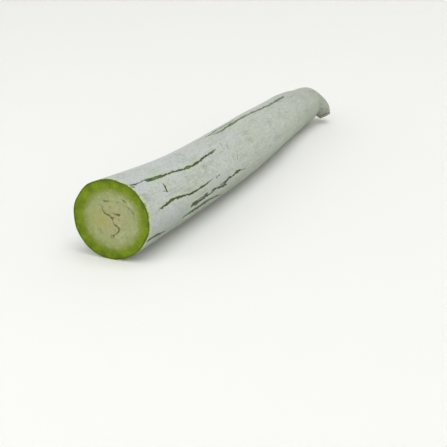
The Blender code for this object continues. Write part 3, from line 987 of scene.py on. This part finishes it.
# %% Skin: colour of the bare rind
RIND_TONES = ((0.35, "222914"), (0.5, "364126"), (0.66, "52603A"))
FLANK_SHADE = 0.65  # painted shade: how much darker the bare rind is lower down the side
LIT = (0.1, 0.5)  # shares of the width: the lighter green is full up to one, and gone at the other
LIT_SHARES = (  # reading, where it starts, where it is full, least share
    (half_width, 0.0009, 0.0014, 0.0),
    (skin_noise["swell"], 0.40, 0.56, 0.4),
    (skin_parts["X"], 0.200, 0.150, 0.0),
)
bare_share = put(skin, "DIVIDE", (streak_gap, bare_width))
between = put(skin, MAP_RANGE, (bare_share, *LIT, 1.0, 0.0), **SMOOTH)
between = lessen(between, LIT_SHARES)
rind = put(skin, RAMP, (skin_noise["swell"],), stops=RIND_TONES)
rind = put(skin, MIX, (between, rind, linear("5B7A45")), data_type="RGBA")
# painted shade: the bare rind is darker lower down the side
flank_shade_share = put(skin, "MULTIPLY", (skin_noise["flank"], FLANK_SHADE))
rind = put(skin, MIX, (flank_shade_share, rind, linear("10160A")), data_type="RGBA")
skin_colour = put(skin, MIX, (halo, bloom, halo_colour), data_type="RGBA")
skin_colour = put(skin, MIX, (bare, skin_colour, rind), data_type="RGBA")
print("the streaks are drawn after", len(skin.nodes), "nodes")

# %% [markdown]
# Next to the knife's edge a thin lime line runs round the skin. Towards the stalk the skin turns
# into grey fibre, and the stalk's own cut edge is a thin dark line.

# %% Skin: the edge at the cut and the stalk
EDGE_JAG = 0.005
STALK_TONES = ((0.35, "868C7C"), (0.6, "A8AE9F"))
edge_at = put(skin, ATTRIBUTE, (), "Fac", attribute_name="from_edge")
edge_jag = put(skin, "MULTIPLY_ADD", (jag, EDGE_JAG, edge_at))
stalk_fibre = put(skin, RAMP, (skin_noise["threads"],), stops=STALK_TONES)
END_TINTS = (  # reading, where it starts, where it is full, strength, colour
    (edge_jag, 0.0034, 0.0014, 0.80, "C3D189"),
    (edge_jag, 0.0007, 0.0002, 0.70, "66802A"),
    (skin_parts["X"], axis_length - 0.036, axis_length - 0.010, 0.70, stalk_fibre),
    (skin_parts["X"], axis_length - 0.0013, axis_length - 0.0005, 0.75, "62675A"),
)
for tint in END_TINTS:
    skin_colour = lay(skin, skin_colour, *tint)
print("the ends of the skin have", len(END_TINTS), "tints")

# %% Skin: gloss and fine bumps
BUMP_DEPTH = 0.00014
BARE_SUNK = -1.2  # how much lower the bare rind is, in bump depths
WAX_ROUGHNESS = 0.68
RIND_ROUGHNESS = 0.42
gloss = put(skin, MAP_RANGE, (bare, 0.0, 1.0, WAX_ROUGHNESS, RIND_ROUGHNESS))
bump_height = 0.0
for name, weight in (("mottle", 1.0), ("grain", 0.55), ("threads", 0.35)):
    bump_height = put(skin, "MULTIPLY_ADD", (skin_noise[name], weight, bump_height))
bump_height = put(skin, "MULTIPLY_ADD", (bare, BARE_SUNK, bump_height))
bumps = {"Strength": 0.6, "Distance": BUMP_DEPTH, "Height": bump_height}
skin_bump = put(skin, "ShaderNodeBump", bumps)
skin.links.new(skin_colour, skin_shader.inputs["Base Color"])
skin.links.new(gloss, skin_shader.inputs["Roughness"])
skin.links.new(skin_bump, skin_shader.inputs["Normal"])
skin_shader.inputs["IOR"].default_value = 1.44  # plant wax
print("the skin's material has", len(skin.nodes), "nodes")

# %% [markdown]
# ## Wet flesh of the cut face
#
# Under the skin is a ring of firm green flesh, 6 to 9 mm thick. Inwards it fades to pale watery
# flesh and then to a beige, spongy pith with brownish torn fibres. Vessels run in from the rind, and
# the clefts are olive-brown inside, darker where they are wide and deep, which is partly painted
# shade. Freshly cut flesh is damp, so it has a soft gloss, and light goes a little way into it.

# %% Flesh: distance from the rim, and the noises
flesh_material, flesh, flesh_shader = new_material("cut_gourd_flesh")
face_at, face_parts = stored_vector(flesh, "face")
rim_at = put(flesh, ATTRIBUTE, (), "Fac", attribute_name="from_edge")
bearing = put(flesh, "ARCTAN2", (face_parts["Y"], face_parts["X"]))
face_radius = put(flesh, "V LENGTH", (face_at,), "Value")
round_place = []
for steps_per_metre in (28.0, 130.0):  # how fast a pattern changes inwards, not round the ring
    parts_round = (
        put(flesh, "SINE", (bearing,)),
        put(flesh, "COSINE", (bearing,)),
        put(flesh, "MULTIPLY", (face_radius, steps_per_metre)),
    )
    round_place.append(put(flesh, COMBINE, parts_round))
FLESH_NOISES = {  # coordinates, scale, detail, roughness
    "fibres": (round_place[0], 16.0, 3.0, 0.65),
    "arcs": (round_place[1], 2.6, 3.0, 0.60),
    "ring": (face_at, 1 / 0.009, 4.0, 0.60),
    "mottle": (face_at, 1 / 0.0024, 4.0, 0.70),
    "marks": (face_at, 1 / 0.0034, 2.0, 0.50),
}
flesh_noise = {}
for name, (coordinates, scale, detail, rough) in FLESH_NOISES.items():
    flesh_noise[name] = put(flesh, NOISE, (coordinates, scale, detail, rough))
print("the flesh has", len(flesh_noise), "noises")

# %% Flesh: rings of colour from the rind to the pith
RING_THICK = 0.0072
THINNER_TO_THE_RIGHT = -0.045  # metres of thickness for each metre to the right
RAMP_PER_RING = 0.25  # position on the ramp for one thickness of the ring
FLESH_TONES = (
    (0.0, "586A06"), (0.12, "677B0C"), (0.205, "73861A"), (0.31, "8C964C"), (0.42, "9FA772"),
    (0.6, "A7AB7D"), (0.85, "ACAA7B"),
)
ring_share = put(flesh, "MULTIPLY_ADD", (face_parts["X"], THINNER_TO_THE_RIGHT, RING_THICK))
wandered = rim_at
for name, reach in (("ring", 0.0050), ("fibres", 0.0024)):
    off_mean = put(flesh, "SUBTRACT", (flesh_noise[name], 0.5))
    wandered = put(flesh, "MULTIPLY_ADD", (off_mean, reach, wandered))
ring_share = put(flesh, "DIVIDE", (wandered, ring_share))
ramp_place = put(flesh, "MULTIPLY", (ring_share, RAMP_PER_RING))
flesh_colour = put(flesh, RAMP, (ramp_place,), stops=FLESH_TONES)
print("the green ring is about", RING_THICK * 1000, "mm thick")

# %% Flesh: where a tone belongs
PITH_AT = Vector((0.0020, 0.0010, 0))
SEED_RING = 0.0145  # distance of the torn fibres from the middle of the pith
YELLOW_AT = Vector((-0.0092, -0.0019, 0))
from_pith = put(flesh, "V DISTANCE", (face_at, PITH_AT), "Value")
off_seeds = put(flesh, "SUBTRACT", (from_pith, SEED_RING))
off_seeds = put(flesh, "ABSOLUTE", (off_seeds,))
from_yellow = put(flesh, "V DISTANCE", (face_at, YELLOW_AT), "Value")
PLACES = {  # value, where the share is 0, where it is 1
    "ring": (ring_share, 1.15, 0.70),
    "flesh": (ring_share, 0.90, 1.30),
    "seeds": (off_seeds, 0.0045, 0.0010),
    "yellow": (from_yellow, 0.0110, 0.0015),
}
share_of = {}
for name, (value, start, full) in PLACES.items():
    share_of[name] = put(flesh, MAP_RANGE, (value, start, full))
print("tones belong to", len(share_of), "places")

# %% Flesh: layers of tone
FLESH_LAYERS = (  # place, noise, where it starts, where it is full, strength, colour
    ("ring", "ring", 0.42, 0.62, 0.70, "84A00E"),
    ("ring", "fibres", 0.48, 0.32, 0.50, "4E6210"),
    ("ring", "mottle", 0.46, 0.26, 0.45, "56681A"),
    ("flesh", "fibres", 0.48, 0.32, 0.30, "828C58"),
    ("flesh", "arcs", 0.50, 0.70, 0.50, "BBC298"),
    ("flesh", "arcs", 0.46, 0.28, 0.35, "8F9A64"),
    ("flesh", "mottle", 0.52, 0.76, 0.40, "BFC29C"),
    ("flesh", "mottle", 0.48, 0.26, 0.35, "868860"),
    ("yellow", "ring", 0.10, 0.40, 0.55, "A6A250"),
    ("seeds", "marks", 0.56, 0.70, 0.50, "77734A"),
)
for where, name, *layer in FLESH_LAYERS:
    flesh_colour = lay(flesh, flesh_colour, flesh_noise[name], *layer, share_of[where])
print("the flesh has", len(FLESH_LAYERS), "layers")

# %% Flesh: clefts and the rim
CLEFT_JAG = 0.0016
CLEFT_STEP = 0.0002  # about half a gap between the points of the face
CLEFT_EDGE = 0.0001
CLEFT_CORE = 0.35  # share of the half width where a cleft is darkest
CLEFT_TONE_AND_SHADE = (0.0001, 0.0006, 0.2, 0.62)  # half width from and to, and the tone's share at each
RIM_LINE = (0.0015, 0.0004, 0.8, "48590F")  # start, full, strength, colour
cleft_at = stored_vector(flesh, "cleft")[1]
mottle_off = put(flesh, "SUBTRACT", (flesh_noise["mottle"], 0.5))
cleft_gap = line_gap(flesh, cleft_at, mottle_off, CLEFT_JAG, CLEFT_STEP)
cleft_core = put(flesh, "MULTIPLY", (cleft_at["Z"], CLEFT_CORE))
cleft_edge = put(flesh, "ADD", (cleft_at["Z"], CLEFT_EDGE))
cleft_inside = put(flesh, MAP_RANGE, (cleft_gap, cleft_edge, cleft_core))
# wider clefts are deeper: their darker olive is partly their own colour, partly painted shade
cleft_tone_and_shade = put(flesh, MAP_RANGE, (cleft_at["Z"], *CLEFT_TONE_AND_SHADE))
cleft_inside = put(flesh, "MULTIPLY", (cleft_inside, cleft_tone_and_shade))
flesh_colour = put(flesh, MIX, (cleft_inside, flesh_colour, linear("70712F")), data_type="RGBA")
flesh_colour = lay(flesh, flesh_colour, rim_at, *RIM_LINE)
print("the clefts and the rim are drawn after", len(flesh.nodes), "nodes")

# %% Flesh: damp gloss, fine bumps and light inside
FIBRE_WEIGHT = 0.6
DAMP_ROUGHNESS = (0.4, 0.6)
heights = (flesh_noise["fibres"], FIBRE_WEIGHT, flesh_noise["mottle"])
flesh_height = put(flesh, "MULTIPLY_ADD", heights)
bumps = {"Strength": 0.6, "Distance": 0.00018, "Height": flesh_height}
flesh_bump = put(flesh, "ShaderNodeBump", bumps)
flesh_gloss = put(flesh, MAP_RANGE, (flesh_noise["mottle"], 0.3, 0.7, *DAMP_ROUGHNESS))
flesh.links.new(flesh_colour, flesh_shader.inputs["Base Color"])
flesh.links.new(flesh_gloss, flesh_shader.inputs["Roughness"])
flesh.links.new(flesh_bump, flesh_shader.inputs["Normal"])
flesh_shader.inputs["IOR"].default_value = 1.36  # watery plant flesh
flesh_shader.inputs["Specular IOR Level"].default_value = 0.35
flesh_shader.inputs["Subsurface Weight"].default_value = 0.25
flesh_shader.inputs["Subsurface Radius"].default_value = (0.8, 1.0, 0.4)
flesh_shader.inputs["Subsurface Scale"].default_value = 0.0015
print("the flesh's material has", len(flesh.nodes), "nodes")

# %% [markdown]
# ## Dried cut of the stalk
#
# The stalk's end is corky: grey-beige like the dry skin round it, with a thin darker rim and a
# brownish core where the soft middle shrank.

# %% Stalk: corky rings
stalk_material, stalk, stalk_shader = new_material("dried_stalk_end")
CORK_GRAINS = 1400.0  # in a metre
CORK_JAG = 0.3  # how unevenly the rings run, as a share of the radius
CORK_TONES = (
    (0.06, "4C4935"), (0.24, "86836A"), (0.6, "A3A590"), (0.84, "969A8A"), (0.96, "62655A"),
)
ring_at = put(stalk, ATTRIBUTE, (), "Fac", attribute_name="cap_share")
stalk_place = put(stalk, "ShaderNodeTexCoord", (), "Object")
cork = put(stalk, NOISE, (stalk_place, CORK_GRAINS, 3.0, 0.65))
cork_off = put(stalk, "SUBTRACT", (cork, 0.5))
cork_ring = put(stalk, "MULTIPLY_ADD", (cork_off, CORK_JAG, ring_at))
stalk_colour = put(stalk, RAMP, (cork_ring,), stops=CORK_TONES)
stalk_bump = put(stalk, "ShaderNodeBump", {"Strength": 0.7, "Distance": 0.0002, "Height": cork})
stalk.links.new(stalk_colour, stalk_shader.inputs["Base Color"])
stalk.links.new(stalk_bump, stalk_shader.inputs["Normal"])
stalk_shader.inputs["Roughness"].default_value = 0.85
print("the stalk's material has", len(stalk.nodes), "nodes")

# %% [markdown]
# ## Grow the gourd and put it in its place
#
# The tree runs as a modifier on an empty mesh. Its inputs are set by their identifiers before the
# object is first evaluated. The result is then made a plain mesh, moved so that the middle of its
# box is the middle of the solid's box, and held inside that box.

# %% Run the tree and keep its mesh
carrier = new_object("gourd_carrier", bpy.data.meshes.new("gourd_carrier"))
modifier = carrier.modifiers.new("grow", "NODES")
modifier.node_group = grow
settings = {name: value for name, _, value in TREE_INPUTS}
settings.update({"Skin": skin_material, "Flesh": flesh_material, "Stalk Cut": stalk_material})
for item in grow.interface.items_tree:
    if item.in_out == "INPUT" and item.name in settings:
        modifier[item.identifier] = settings[item.name]
depsgraph = bpy.context.evaluated_depsgraph_get()
grown = bpy.data.meshes.new_from_object(carrier.evaluated_get(depsgraph), depsgraph=depsgraph)
grown.name = "gourd_fruit"
grown.materials.pop(index=0)  # the empty slot that the cylinders came with
for helper in (carrier, axis_curve, streak_curve, cleft_curve):
    bpy.data.objects.remove(helper)
print("the mesh has", len(grown.vertices), "points")

# %% Move it onto the solid
INSIDE = 1e-6
places = np.empty(len(grown.vertices) * 3)
grown.vertices.foreach_get("co", places)
places = places.reshape(-1, 3)
low, high = np.array(solid_low), np.array(solid_high)
grown_middle = (places.min(axis=0) + places.max(axis=0)) / 2
move = (low + high) / 2 - grown_middle
move[2] = 0.0
places = np.clip(places + move, low + (INSIDE, INSIDE, 0), high - INSIDE)
grown.vertices.foreach_set("co", places.ravel())
grown.update()
fruit = new_object("gourd_fruit", grown)
triangles = sum(len(polygon.vertices) - 2 for polygon in grown.polygons)
print("the gourd has", triangles, "triangles and moved by", (move * 1000).round(3), "mm")

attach(fruit, "root")
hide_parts("gourd")

# %% [markdown]
# ## Floor, light and camera
#
# The fruit lies on a plain floor of pale matt paper, as in a studio, which takes soft shadows and
# has no gloss. Far from the fruit it turns up into a round wall, so that no view shows a horizon. A
# wide lamp overhead and two soft ones give light without hard shadows, and a white world fills the
# rest.

# %% The floor
FLAT_REACH = 1.9
BEND_RADIUS = 0.9
BEND_STEPS = 12
WALL_TOP = 2.4
FLOOR_SIDES = 96
profile = [(0.5, 0.0), (1.2, 0.0)]
for i in range(BEND_STEPS + 1):
    turn = math.pi / 2 * i / BEND_STEPS
    profile.append(
        (FLAT_REACH + BEND_RADIUS * math.sin(turn), BEND_RADIUS * (1 - math.cos(turn)))
    )
profile.append((FLAT_REACH + BEND_RADIUS, WALL_TOP))
floor_points = [(0.0, 0.0, 0.0)]
for reach, height in profile:
    for k in range(FLOOR_SIDES):
        turn = 2 * math.pi * k / FLOOR_SIDES
        floor_points.append((reach * math.cos(turn), reach * math.sin(turn), height))
floor_faces = []
for k in range(FLOOR_SIDES):
    n = (k + 1) % FLOOR_SIDES
    floor_faces.append((0, 1 + k, 1 + n))
    for inner in range(1, 1 + FLOOR_SIDES * (len(profile) - 1), FLOOR_SIDES):
        outer = inner + FLOOR_SIDES
        floor_faces.append((inner + k, outer + k, outer + n, inner + n))
floor_mesh = bpy.data.meshes.new("studio_floor")
floor_mesh.from_pydata(floor_points, [], floor_faces)
floor_mesh.shade_smooth()
floor = new_object("studio_floor", floor_mesh)
floor_material, paper, paper_shader = new_material("matt_paper")
paper_shader.inputs["Base Color"].default_value = linear("FAFAF8")
paper_shader.inputs["Roughness"].default_value = 0.9
floor_mesh.materials.append(floor_material)
print("the floor has", len(floor_faces), "faces")

# %% The lamps and the world
LAMPS = (  # name, place, width in metres, power in watts
    ("overhead", (0.00, -0.60, 3.40), 2.8, 54.0),
    ("left_front", (-1.10, 0.55, 0.75), 0.9, 2.9),
    ("right_front", (-0.60, -1.20, 0.60), 0.9, 0.4),
)
for name, place, width, power in LAMPS:
    lamp = bpy.data.lights.new(name, "AREA")
    lamp.size = width
    lamp.energy = power
    lamp_object = new_object(name, lamp)
    lamp_object.location = place
    lamp_object.rotation_euler = (-Vector(place)).to_track_quat("-Z", "Y").to_euler()
world = bpy.data.worlds.new("pale_studio")
world.use_nodes = True
world.node_tree.nodes["Background"].inputs["Color"].default_value = linear("FFFFFF")
world.node_tree.nodes["Background"].inputs["Strength"].default_value = 0.36
bpy.context.scene.world = world
bpy.context.scene.view_settings.view_transform = "Standard"
print("the lamps give", sum(power for *_, power in LAMPS), "W")

# %% [markdown]
# The camera stands where the picture was taken from: in front of the cut face and a little to its
# right, looking down at 23 degrees through a long lens.

# %% The camera
CAMERA_PLACE = Vector((-0.7494, -0.3589, 0.3066))
CAMERA_HEADING = math.radians(25.9)  # to the left of the X axis
CAMERA_DOWN = math.radians(23.0)
IMAGE_WIDTH = 447
FOCAL_PIXELS = 1000.0
camera_data = bpy.data.cameras.new("camera")
camera_data.sensor_width = 36.0
camera_data.lens = camera_data.sensor_width * FOCAL_PIXELS / IMAGE_WIDTH
camera_data.clip_start = 0.01
camera = new_object("camera", camera_data)
camera.location = CAMERA_PLACE
camera.rotation_euler = (math.pi / 2 - CAMERA_DOWN, 0, CAMERA_HEADING - math.pi / 2)
bpy.context.scene.camera = camera
print(f"the lens is {camera_data.lens:.1f} mm")
